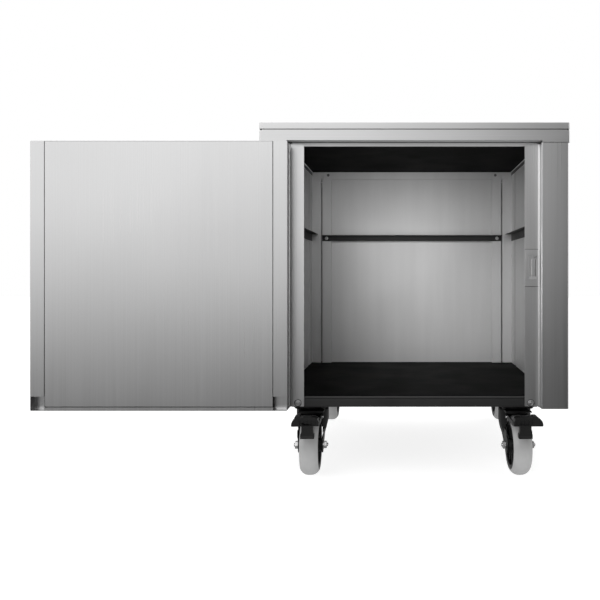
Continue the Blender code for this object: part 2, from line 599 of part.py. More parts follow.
def make_fork(name, head):
    """Fork: two legs that close in towards the axle under a round, skirted crown."""
    top = CROWN_HIGH - LEG_SHEET / 2
    leg = [(LEG_LOW, 0.050), (LEG_LOW, 0.092), (LEG_HIGH, 0.134), (LEG_HIGH, top)]
    path = [(-x, z) for x, z in leg] + [(x, z) for x, z in reversed(leg)]
    fork = folded(name + "_fork", BLACK_STEEL, "XZ", path, (-0.10, 0.07), head, radius=0.006,
                  thickness=LEG_SHEET)
    outline = [(-0.060, 0.200), (-0.060, 0.140), (-0.067, 0.080)]
    outline += arc((-TRAIL, WHEEL_R), 0.020, 175, 325, 5)
    outline += [(0.012, 0.092), (0.045, 0.130), (0.045, 0.200)]
    side = plate(name + "_side_outline", None, "YZ", outline, (-0.06, 0.06), head)
    boolean(fork, side, "INTERSECT")
    outline = arc((0, 0), CROWN_R + 0.0004, -39, 219, 16) + [(-0.0338, -0.080), (0.0338, -0.080)]
    boolean(fork, plate(name + "_plan_outline", None, "XY", outline, (0.0, 0.2), head), "INTERSECT")
    crown = [(0.0, CROWN_HIGH), (CROWN_R - 0.003, CROWN_HIGH), (CROWN_R, CROWN_HIGH - 0.003),
             (CROWN_R, SKIRT_LOW), (CROWN_R - LEG_SHEET, SKIRT_LOW), (CROWN_R - LEG_SHEET, CROWN_LOW),
             (0.0, CROWN_LOW)]
    crown = turned(name + "_crown", None, crown, "Z", (0, 0, 0), head, sides=24)
    cut_boxes(crown, name + "_wheel_clearance", [((-0.0285, -0.06, 0.09), (0.0285, 0.0, CROWN_LOW)),
                                                 ((-0.0255, -0.01, 0.09), (0.0255, 0.06, 0.1250))], head)
    low, high = LEG_LOW + LEG_SHEET / 2, CROWN_R + 0.0004
    outline = [(high, 0.200), (high, 0.134), (low, 0.092), (-low, 0.092), (-high, 0.134), (-high, 0.200)]
    boolean(crown, plate(name + "_taper", None, "XZ", outline, (-0.06, 0.06), head), "INTERSECT")
    boolean(fork, crown, "UNION")
    bore = cylinder(name + "_king_bore", None, "Z", (0, 0, 0.160), 0.0084, 0.03, head, 16)
    boolean(fork, bore, "DIFFERENCE")
    bore = cylinder(name + "_axle_bore", None, "X", (0, -TRAIL, WHEEL_R), AXLE_R + GAP, 0.1, head, 16)
    boolean(fork, bore, "DIFFERENCE")


def make_caster(name, place_xy, heading):
    x, y = place_xy
    head = empty(name + "_swivel_axis", datum, (x, y, 0.0), heading)
    top = BODY_BOTTOM - GAP
    seat = empty(name + "_seat", datum, (x, y, 0.0))

    mount = box(name + "_caster_plate", BLACK_STEEL, (-0.043, -0.055, top - 0.004), (0.043, 0.055, top),
                seat, bevel=0.003)
    race_low = CROWN_HIGH + 0.0005
    race = [(0.0, top - 0.002), (RACE_R, top - 0.002), (RACE_R, race_low), (0.0080, race_low),
            (0.0080, CROWN_LOW - GAP), (0.0120, CROWN_LOW - GAP), (0.0120, 0.1470), (0.0, 0.1470)]
    boolean(mount, turned(name + "_kingpin", None, race, "Z", (0, 0, 0), seat, sides=20), "UNION")
    make_fork(name, head)

    wheel = empty(name + "_wheel_axis", head, (0.0, -TRAIL, WHEEL_R))
    face = LEG_LOW + LEG_SHEET / 2 + GAP
    bolt = [(0.0, face + 0.0085), (0.0100, face + 0.0085), (0.0100, face), (AXLE_R, face),
            (AXLE_R, -face), (0.0108, -face), (0.0108, -face - 0.0090),
            (0.0050, -face - 0.0090), (0.0050, -face - 0.0130), (0.0, -face - 0.0130)]
    turned(name + "_axle_bolt", ZINC, bolt, "X", (0.0, -TRAIL, WHEEL_R), head, sides=12)
    rim, web, boss = TREAD_WIDTH / 2 - 0.001, 0.010, LEG_LOW - LEG_SHEET / 2 - 0.0008
    bore_r = AXLE_R + GAP
    hub = [(bore_r, boss), (0.017, boss), (0.017, web), (0.050, web), (0.050, rim), (HUB_R, rim),
           (HUB_R, -rim), (0.050, -rim), (0.050, -web), (0.017, -web), (0.017, -boss),
           (bore_r, -boss)]
    turned(name + "_wheel_hub", BLACK_PLASTIC, hub, "X", (0, 0, 0), wheel, sides=24)
    turned(name + "_tyre", GREY_TREAD, tread_profile(), "X", (0, 0, 0), wheel, sides=24)
    if name in PEDAL_WING:
        make_pedal(name, head, PEDAL_WING[name])


def make_pedal(name, head, wing):
    """Brake pedal: a bar with a wing at one end, a tongue over the wheel, an arm inside each leg."""
    pedal = empty(name + "_pedal_axis", head, (0.0, -0.044, 0.1460))
    side, reach = (1, wing) if wing > 0 else (-1, -wing)
    low, high = -0.0045, 0.0180
    outline = [(-0.0290, low), (reach - 0.0025, low), (reach, low + 0.0030), (reach - 0.0015, 0.0030),
               (reach - 0.0040, 0.0090), (reach - 0.0075, 0.0130), (0.0315, 0.0160),
               (0.0310, 0.0190), (0.0285, 0.0210), (0.0200, 0.0212), (0.0190, high),
               (-0.0210, high), (-0.0290, 0.0110)]
    bar = plate(name + "_brake_pedal", BLACK_PLASTIC, "XZ", [(side * x, z) for x, z in outline],
                (-0.088, -0.064), pedal)
    join_boxes(bar, name + "_pedal_tongue", [
        ((-0.0170, -0.098, -0.0330), (0.0170, -0.0845, -0.0210)),
        ((-0.0145, -0.096, -0.0240), (0.0145, -0.083, -0.0010)),
        ((-0.0282, -0.070, -0.0060), (-0.0250, 0.006, 0.0055)),
        ((0.0250, -0.070, -0.0060), (0.0282, 0.006, 0.0055))], pedal)


make_worktop()
make_fascia()
make_side_shells()
make_liner()
make_base()
make_shelf_rails()
make_catch()
make_hinge_and_door()
for caster, (cx, cy, turn) in CASTERS.items():
    make_caster(caster, (cx, cy), turn)

for obj in PARTS.objects:
    if obj.type == "MESH" and any(mod.type == "SCREW" for mod in obj.modifiers):
        obj.data.shade_smooth()
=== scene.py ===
"""Looks of the mobile stainless undercounter cabinet: materials, detailed pieces, light and camera."""
import json
from math import atan2, cos, pi, radians, sin, tan

import bmesh
import bpy
from mathutils import Matrix, Vector


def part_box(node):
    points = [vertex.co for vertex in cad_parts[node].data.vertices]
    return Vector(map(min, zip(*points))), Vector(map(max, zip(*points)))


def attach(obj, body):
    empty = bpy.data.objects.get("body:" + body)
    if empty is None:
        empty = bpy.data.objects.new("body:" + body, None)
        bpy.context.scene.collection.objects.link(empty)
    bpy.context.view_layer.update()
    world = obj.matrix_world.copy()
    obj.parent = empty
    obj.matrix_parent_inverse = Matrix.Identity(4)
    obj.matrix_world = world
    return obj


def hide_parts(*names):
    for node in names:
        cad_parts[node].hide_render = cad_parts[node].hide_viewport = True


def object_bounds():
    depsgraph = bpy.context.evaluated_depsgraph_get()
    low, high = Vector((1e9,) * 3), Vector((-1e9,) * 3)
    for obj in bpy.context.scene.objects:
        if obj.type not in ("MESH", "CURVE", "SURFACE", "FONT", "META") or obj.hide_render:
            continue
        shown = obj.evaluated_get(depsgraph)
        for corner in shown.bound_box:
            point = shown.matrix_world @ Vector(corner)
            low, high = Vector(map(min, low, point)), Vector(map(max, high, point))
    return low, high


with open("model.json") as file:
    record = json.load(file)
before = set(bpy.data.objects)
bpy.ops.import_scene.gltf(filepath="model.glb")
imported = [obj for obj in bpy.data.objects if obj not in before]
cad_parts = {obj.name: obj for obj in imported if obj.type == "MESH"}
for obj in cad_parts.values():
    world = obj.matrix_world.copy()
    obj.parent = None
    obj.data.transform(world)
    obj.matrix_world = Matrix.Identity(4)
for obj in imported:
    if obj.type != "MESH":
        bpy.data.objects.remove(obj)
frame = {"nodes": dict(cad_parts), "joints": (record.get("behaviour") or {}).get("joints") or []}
CAD_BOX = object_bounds()
NODES = frame["nodes"]

# ---- places taken from the frame ----------------------------------------------------------------
TOP_LOW, TOP_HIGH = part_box("worktop_skin")
CENTRE_X = (TOP_LOW[0] + TOP_HIGH[0]) / 2
FRONT_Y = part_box("left_side_shell")[0][1]          # front faces of the stiles

CAMERA_X, CAMERA_Z = CENTRE_X - 0.0239, 0.5168
CAMERA_DISTANCE = 1.595
PICTURE_WIDTH = 1.5096          # metres across the picture at the cabinet's front plane
CAMERA_SHIFT = (-0.175, -0.0433)
SENSOR = 36.0


# ---- materials ----------------------------------------------------------------------------------
def new_material(name, colour, roughness, metallic=0.0):
    made = bpy.data.materials.new(name)
    made.use_nodes = True
    shader = made.node_tree.nodes["Principled BSDF"]
    shader.inputs["Base Color"].default_value = (*colour, 1.0)
    shader.inputs["Roughness"].default_value = roughness
    shader.inputs["Metallic"].default_value = metallic
    return made, made.node_tree, shader


def add(tree, kind, **values):
    """A new node, with its sockets or properties set by name."""
    node = tree.nodes.new(kind)
    for key, value in values.items():
        label = key.replace("_", " ")
        if hasattr(node, key):
            setattr(node, key, value)
        else:
            node.inputs[label].default_value = value
    return node


def noise(tree, scale, size, detail=2.0, rough=0.5):
    """Noise in the piece's own coordinates, stretched by scale = (x, y, z) features per metre."""
    place = add(tree, "ShaderNodeTexCoord")
    mapping = add(tree, "ShaderNodeMapping")
    mapping.inputs["Scale"].default_value = scale
    tree.links.new(place.outputs["Object"], mapping.inputs["Vector"])
    made = add(tree, "ShaderNodeTexNoise")
    made.inputs["Scale"].default_value = size
    made.inputs["Detail"].default_value = detail
    made.inputs["Roughness"].default_value = rough
    tree.links.new(mapping.outputs["Vector"], made.inputs["Vector"])
    return made.outputs["Fac"]


def spread(tree, value, low, high, start=0.3, end=0.7):
    """Value mapped from start..end to low..high, and held at those ends."""
    node = add(tree, "ShaderNodeMapRange")
    node.inputs["From Min"].default_value = start
    node.inputs["From Max"].default_value = end
    node.inputs["To Min"].default_value = low
    node.inputs["To Max"].default_value = high
    tree.links.new(value, node.inputs["Value"])
    return node.outputs["Result"]


def combined(tree, operation, first, second):
    """Two values put together by a maths operation."""
    node = add(tree, "ShaderNodeMath", operation=operation)
    tree.links.new(first, node.inputs[0])
    tree.links.new(second, node.inputs[1])
    return node.outputs[0]


def ramp(tree, value, *stops):
    node = add(tree, "ShaderNodeValToRGB")
    band = node.color_ramp
    while len(band.elements) < len(stops):
        band.elements.new(0.5)
    for element, (at, colour) in zip(band.elements, stops):
        element.position = at
        element.color = (*colour, 1.0)
    tree.links.new(value, node.inputs["Fac"])
    return node.outputs["Color"]


def bump(tree, shader, height, strength, distance):
    node = add(tree, "ShaderNodeBump")
    node.inputs["Strength"].default_value = strength
    node.inputs["Distance"].default_value = distance
    tree.links.new(height, node.inputs["Height"])
    tree.links.new(node.outputs["Normal"], shader.inputs["Normal"])


def facing(tree):
    """The parts of the surface's normal in world axes."""
    parts = add(tree, "ShaderNodeSeparateXYZ")
    tree.links.new(add(tree, "ShaderNodeNewGeometry").outputs["Normal"], parts.inputs["Vector"])
    return parts.outputs


def on_bends(tree):
    """0 on faces square to the piece, rising to 1 on its bends and rounded edges, where the painted
    highlight goes.
    """
    normal = add(tree, "ShaderNodeTexCoord").outputs["Normal"]
    size = add(tree, "ShaderNodeVectorMath", operation="ABSOLUTE")
    tree.links.new(normal, size.inputs[0])
    parts = add(tree, "ShaderNodeSeparateXYZ")
    tree.links.new(size.outputs[0], parts.inputs[0])
    most = parts.outputs["X"]
    for other in ("Y", "Z"):
        most = combined(tree, "MAXIMUM", most, parts.outputs[other])
    return spread(tree, most, 1.0, 0.0, 0.82, 0.985)


def blend(tree, factor, first, second):
    """Colour that goes from the first to the plain grey of the second with the factor."""
    mix = add(tree, "ShaderNodeMix")
    mix.data_type = "RGBA"
    tree.links.new(factor, mix.inputs["Factor"])
    tree.links.new(first, mix.inputs["A"])
    mix.inputs["B"].default_value = (second, second, second, 1.0)
    return mix.outputs["Result"]


def soft_underneath(made, least):
    """Let downward faces scatter the light from the floor, as their coarser grain does."""
    tree = made.node_tree
    metal = spread(tree, facing(tree)["Z"], 1.0, least, -0.3, -0.7)
    tree.links.new(metal, tree.nodes["Principled BSDF"].inputs["Metallic"])
    return made


def brushed(name, grain, tone=0.60, roughness=0.36, edges=0.0):
    """Brushed stainless: fine scratches along one axis, slow changes of gloss, and bends made glossier
    and painted lighter as a painted highlight.
    """
    made, tree, shader = new_material(name, (tone, tone, tone), roughness, 1.0)
    stretch = {"X": (2, 900, 900), "Y": (900, 2, 900), "Z": (900, 900, 2)}[grain]
    lines = noise(tree, stretch, 1.0, 3.0)
    cloud = noise(tree, (1, 1, 1), 3.0, 2.0)
    light, dark = tone * 1.03, tone * 0.95
    colour = ramp(tree, lines, (0.3, (dark,) * 3), (0.7, (light, light, light * 1.005)))
    gloss = combined(tree, "ADD", spread(tree, lines, roughness - 0.04, roughness + 0.04),
                     spread(tree, cloud, -0.02, 0.02))
    # the bends are painted lighter, towards the edges tone, as a painted highlight, and made glossier
    if edges:
        bends = on_bends(tree)
        colour = blend(tree, bends, colour, edges)
        gloss = combined(tree, "MULTIPLY", spread(tree, bends, 1.0, 0.70, 0.0, 1.0), gloss)
    tree.links.new(colour, shader.inputs["Base Color"])
    tree.links.new(gloss, shader.inputs["Roughness"])
    bump(tree, shader, lines, 0.06, 0.0002)
    return made


def dull(name, tone=0.72, roughness=0.58):
    """Mill-finish stainless of the inner panels: even and soft, with faint rolling marks."""
    made, tree, shader = new_material(name, (tone, tone, tone), roughness, 1.0)
    marks = noise(tree, (30, 30, 2), 1.0, 3.0)
    cloud = noise(tree, (1, 1, 1), 4.0, 2.0)
    colour = ramp(tree, marks, (0.3, (tone * 0.97,) * 3), (0.7, (tone * 1.02,) * 3))
    tree.links.new(colour, shader.inputs["Base Color"])
    tree.links.new(spread(tree, cloud, roughness - 0.03, roughness + 0.03), shader.inputs["Roughness"])
    bump(tree, shader, noise(tree, (1, 1, 1), 700.0, 2.0), 0.05, 0.0002)
    return made


def powder(name, tone=0.012, roughness=0.45, gloss=0.5):
    """Black powder coat: fine orange peel."""
    made, tree, shader = new_material(name, (tone, tone, tone * 1.05), roughness)
    shader.inputs["Specular IOR Level"].default_value = gloss
    peel = noise(tree, (1, 1, 1), 900.0, 2.0)
    cloud = noise(tree, (1, 1, 1), 8.0, 3.0)
    colour = ramp(tree, cloud, (0.3, (tone * 0.8,) * 3), (0.7, (tone * 1.3,) * 3))
    tree.links.new(colour, shader.inputs["Base Color"])
    tree.links.new(spread(tree, cloud, roughness - 0.05, roughness + 0.06), shader.inputs["Roughness"])
    bump(tree, shader, peel, 0.15, 0.0003)
    return made


def painted_edge_highlight(name, tone, roughness, gloss, highlight_tone):
    """Black coat with a painted highlight: lighter where a folded edge turns down to the front."""
    made = powder(name, tone, roughness, gloss)
    tree = made.node_tree
    shader = tree.nodes["Principled BSDF"]
    coat = shader.inputs["Base Color"].links[0].from_socket
    normal = facing(tree)
    leaning = spread(tree, normal["Y"], 0.0, 1.0, -0.10, -0.55)
    level = spread(tree, normal["Z"], 0.0, 1.0, 0.05, 0.45)
    bend = combined(tree, "MULTIPLY", leaning, level)
    tree.links.new(blend(tree, bend, coat, highlight_tone), shader.inputs["Base Color"])
    return made


def rail_painted_shade_highlight(name, face, flange):
    """Side rail under the ceiling: dark upright face as painted shade, and a flange painted bright
    underneath as a painted highlight.
    """
    made = dull(name, face, 0.50)
    tree = made.node_tree
    shader = tree.nodes["Principled BSDF"]
    plain = shader.inputs["Base Color"].links[0].from_socket
    under = spread(tree, facing(tree)["Z"], 0.0, 1.0, -0.3, -0.7)
    tree.links.new(blend(tree, under, plain, flange), shader.inputs["Base Color"])
    soft_underneath(made, 0.45)
    return made


# edges= gives the tone of the painted highlight on the bends
STEEL_Z = brushed("stainless_upright", "Z", roughness=0.32, edges=0.85)
STEEL_X = soft_underneath(brushed("stainless_across", "X", roughness=0.34, edges=0.80), 0.65)
HEADER_STEEL = brushed("stainless_header", "X", roughness=0.42)
HEADER_STEEL.node_tree.nodes["Principled BSDF"].inputs["Metallic"].default_value = 0.70
STEEL_Y = brushed("stainless_deep", "Y", roughness=0.34, edges=0.80)
# lighter copy of the upright steel: painted highlight on the catch's edges
HIGHLIGHT_STEEL = brushed("catch_bright", "Z", 0.78, 0.34)
LINER = dull("stainless_mill_finish")
BLACK = powder("black_powder_coat", 0.006, 0.48, 0.25)
# the floor's front lip carries a painted highlight
FLOOR_BLACK = painted_edge_highlight("black_floor", 0.002, 0.60, 0.02, 0.10)
BASE_BLACK = powder("black_base", 0.016, 0.50, 0.30)
BOARD = powder("black_board", 0.002, 0.70, 0.05)
PLASTIC = powder("black_moulding", 0.009, 0.45, 0.30)
BLACK_ZINC = powder("blackened_zinc", 0.010, 0.35, 0.35)
TREAD = powder("grey_rubber", 0.31, 0.60, 0.30)
ZINC = brushed("bright_zinc", "Z", 0.70, 0.25)
SCREW_STEEL = brushed("screw_steel", "X", 0.50, 0.42)
# darker steel tone for the top-rail screws
SCREW_DARK = brushed("screw_dark_steel", "X", 0.22, 0.45)
# flat black pieces standing in for shade: painted shade in the door seams, the catch's slot, along the
# catch plate and round the jamb screws
SHADE_BLACK = powder("black_painted_shade", 0.006, 0.70, 0.15)
KRAFT = powder("honeycomb_core", 0.35, 0.85)
# painted shade tone of the rails' upright faces, painted highlight tone of their flanges
RAIL_SHADE_TONE, RAIL_HIGHLIGHT_TONE = 0.16, 0.95             # tones of the side rails under the ceiling

BY_NAME = {
    "worktop_skin": STEEL_X, "fascia_front": STEEL_X, "fascia_rear": STEEL_X,
    "fascia_left": STEEL_Y, "fascia_right": STEEL_Y, "header_rail": HEADER_STEEL,
    "back_frame": LINER, "back_inner_panel": LINER,
    "left_inner_panel": LINER, "right_inner_panel": LINER,
    "top_rail_left": rail_painted_shade_highlight("top_rail_left_steel", RAIL_SHADE_TONE, RAIL_HIGHLIGHT_TONE),
    "top_rail_right": rail_painted_shade_highlight("top_rail_right_steel", RAIL_SHADE_TONE, RAIL_HIGHLIGHT_TONE),
    "floor_panel": FLOOR_BLACK, "base_front_rail": BASE_BLACK, "shelf_rail_rear": BASE_BLACK,
    "shelf_rail_left": BASE_BLACK, "shelf_rail_right": BASE_BLACK,
    "base_left_rail": BLACK, "base_right_rail": BLACK, "base_rear_rail": BLACK,
    "worktop_core": BOARD, "ceiling_panel": BOARD, "door_core": KRAFT}
BY_ENDING = (
    (("_channel", "_fork", "_caster_plate"), BLACK),
    (("_hub", "_pedal"), PLASTIC),
    (("_tyre",), TREAD),
    (("_bolt", "_screw", "_pin", "_pole_piece"), ZINC))


def surface_of(name):
    """Material of a carried-over piece; what is not listed is upright brushed steel."""
    for endings, surface in BY_ENDING:
        if name.endswith(endings):
            return surface
    return BY_NAME.get(name, STEEL_Z)


for node_name in NODES:
    NODES[node_name].material_slots[0].material = surface_of(node_name)


# ---- shapes -------------------------------------------------------------------------------------
def own(name, mesh, surface, body, matrix=None, smooth=32.0):
    """A finished piece from a bmesh, placed, shaded, given its material, and set to ride on a body."""
    bmesh.ops.recalc_face_normals(mesh, faces=mesh.faces)
    data = bpy.data.meshes.new(name)
    mesh.to_mesh(data)
    mesh.free()
    data.shade_smooth()
    data.set_sharp_from_angle(angle=radians(smooth))
    data.materials.append(surface)
    obj = bpy.data.objects.new(name, data)
    bpy.context.scene.collection.objects.link(obj)
    obj.matrix_world = matrix or Matrix.Identity(4)
    if body:
        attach(obj, body)
    return obj


def round_edges(obj, width, segments=2, angle=32.0):
    """Small bevel on the sharp edges."""
    mod = obj.modifiers.new("rounded", "BEVEL")
    mod.width = width
    mod.segments = segments
    mod.limit_method = "ANGLE"
    mod.angle_limit = radians(angle)
    mod.harden_normals = True
    return obj


def combine(obj, other, operation):
    """Join or cut obj with another piece for good, with an exact Boolean."""
    mod = obj.modifiers.new("joined", "BOOLEAN")
    mod.operation = operation
    mod.object = other
    mod.solver = "EXACT"
    bpy.context.view_layer.update()
    solid = bpy.data.meshes.new_from_object(obj.evaluated_get(bpy.context.evaluated_depsgraph_get()))
    solid.name = obj.data.name
    obj.modifiers.clear()
    obj.data = solid
    bpy.data.objects.remove(other, do_unlink=True)
    solid.shade_smooth()
    solid.set_sharp_from_angle(angle=radians(32))
    return obj


def joined(obj, mesh, operation):
    """Join or cut obj with a bmesh drawn in obj's own coordinates."""
    other = own("cutter", mesh, obj.data.materials[0], None, obj.matrix_world)
    return combine(obj, other, operation)


def arc(centre, radius, start, end, steps):
    """Points round part of a circle, between two angles in degrees."""
    return [(centre[0] + radius * cos(radians(start + (end - start) * i / steps)),
             centre[1] + radius * sin(radians(start + (end - start) * i / steps)))
            for i in range(steps + 1)]


def place(plane, u, v, w):
    """Point from two coordinates in a plane and its distance along that plane's normal."""
    return {"XY": (u, v, w), "YZ": (w, u, v), "XZ": (u, w, v)}[plane]


def prism(outline, plane, span):
    """Solid with a flat outline, drawn out over a span along the plane's normal."""
    mesh = bmesh.new()
    low, high = ([mesh.verts.new(place(plane, u, v, w)) for u, v in outline] for w in span)
    mesh.faces.new(low)
    mesh.faces.new(high)
    for i in range(len(outline)):
        mesh.faces.new((low[i - 1], low[i], high[i], high[i - 1]))
    return mesh


def blocks(boxes):
    """One bmesh with a block for each pair of corners."""
    mesh = bmesh.new()
    for low, high in boxes:
        made = bmesh.ops.create_cube(mesh, size=1.0)["verts"]
        bmesh.ops.scale(mesh, vec=[h - l for l, h in zip(low, high)], verts=made)
        bmesh.ops.translate(mesh, vec=[(h + l) / 2 for l, h in zip(low, high)], verts=made)
    return mesh


def lathe(profile, sides=64, start=0.0):
    """Solid turned about Z: (radius, height) points down its outer side, on the axis or closed."""
    mesh = bmesh.new()
    rings = []
    for radius, height in profile:
        count = sides if radius > 1e-6 else 1
        rings.append([mesh.verts.new((radius * cos(start + 2 * pi * i / sides),
                                      radius * sin(start + 2 * pi * i / sides), height))
                      for i in range(count)])
    pairs = list(zip(rings, rings[1:]))
    if len(rings[0]) > 1:
        pairs.append((rings[-1], rings[0]))
    for upper, lower in pairs:
        for i in range(sides):
            j = (i + 1) % sides
            corners = [upper[i % len(upper)], upper[j % len(upper)],
                       lower[j % len(lower)], lower[i % len(lower)]]
            mesh.faces.new(list(dict.fromkeys(corners)))
    return mesh


def merge(*meshes):
    """Several bmeshes in one, each still its own closed solid."""
    first = meshes[0]
    for mesh in meshes[1:]:
        data = bpy.data.meshes.new("part")
        mesh.to_mesh(data)
        mesh.free()
        first.from_mesh(data)
        bpy.data.meshes.remove(data)
    return first


def moved(mesh, matrix):
    """The same bmesh after a transform."""
    bmesh.ops.transform(mesh, matrix=matrix, verts=mesh.verts)
    return mesh


TO_X = Matrix.Rotation(pi / 2, 4, "Y")          # turns a lathed piece's axis from Z to X
TO_FRONT = Matrix.Rotation(pi / 2, 4, "X")      # turns it from Z to -Y


def rounded_path(points, radius, steps=8):
    """Replace each inner corner of an open path with a bend."""
    out = [Vector(points[0])]
    for before, corner, after in zip(points, points[1:], points[2:]):
        p, a, b = Vector(corner), Vector(before), Vector(after)
        u, v = (a - p).normalized(), (b - p).normalized()
        half = u.angle(v) / 2
        reach = min(radius / tan(half), 0.45 * (a - p).length, 0.45 * (b - p).length)
        bend = reach * tan(half)
        centre = p + (u + v).normalized() * (bend / sin(half))
        start, end = p + u * reach - centre, p + v * reach - centre
        turn = start.angle_signed(end)
        for i in range(steps + 1):
            angle = -turn * i / steps
            out.append(centre + Vector((start.x * cos(angle) - start.y * sin(angle),
                                        start.x * sin(angle) + start.y * cos(angle))))
    out.append(Vector(points[-1]))
    return out


def sheet_strip(points, thickness, plane, span):
    """Solid sheet that follows a path in a plane, drawn out over a span."""
    sides = ([], [])
    for i, point in enumerate(points):
        before, after = points[max(i - 1, 0)], points[min(i + 1, len(points) - 1)]
        along = (after - before).normalized()
        normal = Vector((-along.y, along.x)) * thickness / 2
        sides[0].append(point + normal)
        sides[1].append(point - normal)
    return prism([(p.x, p.y) for p in sides[0] + sides[1][::-1]], plane, span)


# ---- folded sheet: softened edges on the carried-over pieces ------------------------------------
def smooth_by_angle():
    """Node group that shades faces smooth and keeps edges sharper than 40 degrees sharp."""
    group = bpy.data.node_groups.new("smooth_bends", "GeometryNodeTree")
    group.interface.new_socket("Geometry", in_out="INPUT", socket_type="NodeSocketGeometry")
    group.interface.new_socket("Geometry", in_out="OUTPUT", socket_type="NodeSocketGeometry")
    start, end = group.nodes.new("NodeGroupInput"), group.nodes.new("NodeGroupOutput")
    faces = group.nodes.new("GeometryNodeSetShadeSmooth")
    edges = group.nodes.new("GeometryNodeSetShadeSmooth")
    edges.domain = "EDGE"
    edges.inputs["Shade Smooth"].default_value = False
    angle = group.nodes.new("GeometryNodeInputMeshEdgeAngle")
    sharp = group.nodes.new("FunctionNodeCompare")
    sharp.inputs["B"].default_value = radians(40)
    group.links.new(start.outputs[0], faces.inputs["Geometry"])
    group.links.new(faces.outputs["Geometry"], edges.inputs["Geometry"])
    group.links.new(angle.outputs["Unsigned Angle"], sharp.inputs["A"])
    group.links.new(sharp.outputs["Result"], edges.inputs["Selection"])
    group.links.new(edges.outputs["Geometry"], end.inputs[0])
    return group


SMOOTH_BENDS = smooth_by_angle()
for node_name, node in NODES.items():
    weld = node.modifiers.new("weld", "WELD")
    weld.merge_threshold = 0.00001
    if not node_name.endswith(("_core", "hinge_pin")):
        edge = node.modifiers.new("edges", "BEVEL")
        edge.width = 0.0004
        edge.segments = 2
        edge.limit_method = "ANGLE"
        edge.angle_limit = radians(50)
    shading = node.modifiers.new("shading", "NODES")
    shading.node_group = SMOOTH_BENDS
    flat = node.modifiers.new("flat_faces", "WEIGHTED_NORMAL")
    flat.weight = 50
    flat.keep_sharp = True


# ---- screws -------------------------------------------------------------------------------------
def screw(name, body, where, radius=0.0078, height=0.0026, surface=None, spin=20.0):
    """Pan-head screw with a cross recess, facing the front, its seat at where."""
    shape = ((0.0, 1.0), (0.34, 0.98), (0.44, 0.84), (0.50, 0.40), (0.60, 0.36), (0.70, 0.55),
             (0.90, 0.50), (1.0, 0.20), (1.0, 0.0), (0.0, 0.0))
    top = [(r * radius, h * height) for r, h in shape]
    matrix = Matrix.Translation(where) @ TO_FRONT @ Matrix.Rotation(radians(spin), 4, "Z")
    head = own(name, lathe(top, 40), surface or ZINC, None, matrix)
    arm, slit = 0.28 * radius, 0.08 * radius
    floor = 0.30 * height
    for x, y in ((arm, slit), (slit, arm)):
        joined(head, blocks([((-x, -y, floor), (x, y, 2 * height))]), "DIFFERENCE")
    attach(head, body)
    return round_edges(head, 0.00012, 1)


JAMB_SCREW_R, JAMB_SCREW_DEPTH = 0.0078, 0.0026
TOP_SCREW_X, TOP_SCREW_Z = 0.2945, 0.865
SHELF_SCREW_X, SHELF_SCREW_DROP = 0.3000, 0.0099


def make_screws():
    """Screws at the foot of each jamb and in the back's top rail and shelf rail."""
    for side in ("left", "right"):
        low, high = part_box(side + "_jamb_screw")
        x, z = (low[0] + high[0]) / 2, (low[2] + high[2]) / 2
        seat = (x, low[1] + JAMB_SCREW_DEPTH, z)
        head = screw(side + "_jamb_screw_head", "cabinet", seat, JAMB_SCREW_R, 0.0024,
                     SCREW_STEEL)
        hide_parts(side + "_jamb_screw")
        # dark ring round the screw head: painted shade where the head meets the jamb
        washer = lathe([(0.0092, 0.0002), (0.0092, -0.0002), (0.0060, -0.0002), (0.0060, 0.0002)], 40)
        own(side + "_jamb_screw_shade_ring", washer, SHADE_BLACK, "cabinet",
            Matrix.Translation(seat) @ TO_FRONT)
    face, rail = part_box("back_frame")[0][1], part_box("shelf_rail_rear")
    rail_face = rail[1][1] - 0.0015
    for number, side in enumerate((-1, 1)):
        top = (CENTRE_X + side * TOP_SCREW_X, face, TOP_SCREW_Z)
        screw("top_rail_screw_%d" % number, "cabinet", top, 0.0048, 0.0016, SCREW_DARK,
              spin=35 * number)
        shelf = (CENTRE_X + side * SHELF_SCREW_X, rail_face, rail[1][2] - SHELF_SCREW_DROP)
        screw("shelf_rail_screw_%d" % number, "cabinet", shelf, 0.0060, 0.0018, SCREW_STEEL,
              spin=10 + 50 * number)


RIVET_MARGIN_X, RIVET_MARGIN_Z = 0.018, 0.020


def make_rivets():
    """Dome rivets that hold the back panel along its edges."""
    low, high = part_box("back_outer_panel")
    pieces = []
    span, rise = high[0] - low[0] - 2 * RIVET_MARGIN_X, high[2] - low[2] - 2 * RIVET_MARGIN_Z
    spots = [(x, z) for x in (0.0, 0.25, 0.5, 0.75, 1.0) for z in (0.0, 1.0)]
    spots += [(x, z) for x in (0.0, 1.0) for z in (0.25, 0.5, 0.75)]
    for x, z in spots:
        dome = lathe([(0.0, 0.0011), (0.0014, 0.0010), (0.0026, 0.0006), (0.0033, 0.0), (0.0, 0.0)], 24)
        where = (low[0] + RIVET_MARGIN_X + x * span, high[1] + 0.0001,
                 low[2] + RIVET_MARGIN_Z + z * rise)
        pieces.append(moved(dome, Matrix.Translation(where) @ Matrix.Rotation(-pi / 2, 4, "X")))
    own("back_panel_rivets", merge(*pieces), ZINC, "cabinet", None)


# ---- continuous hinge ---------------------------------------------------------------------------
KNUCKLES = 51


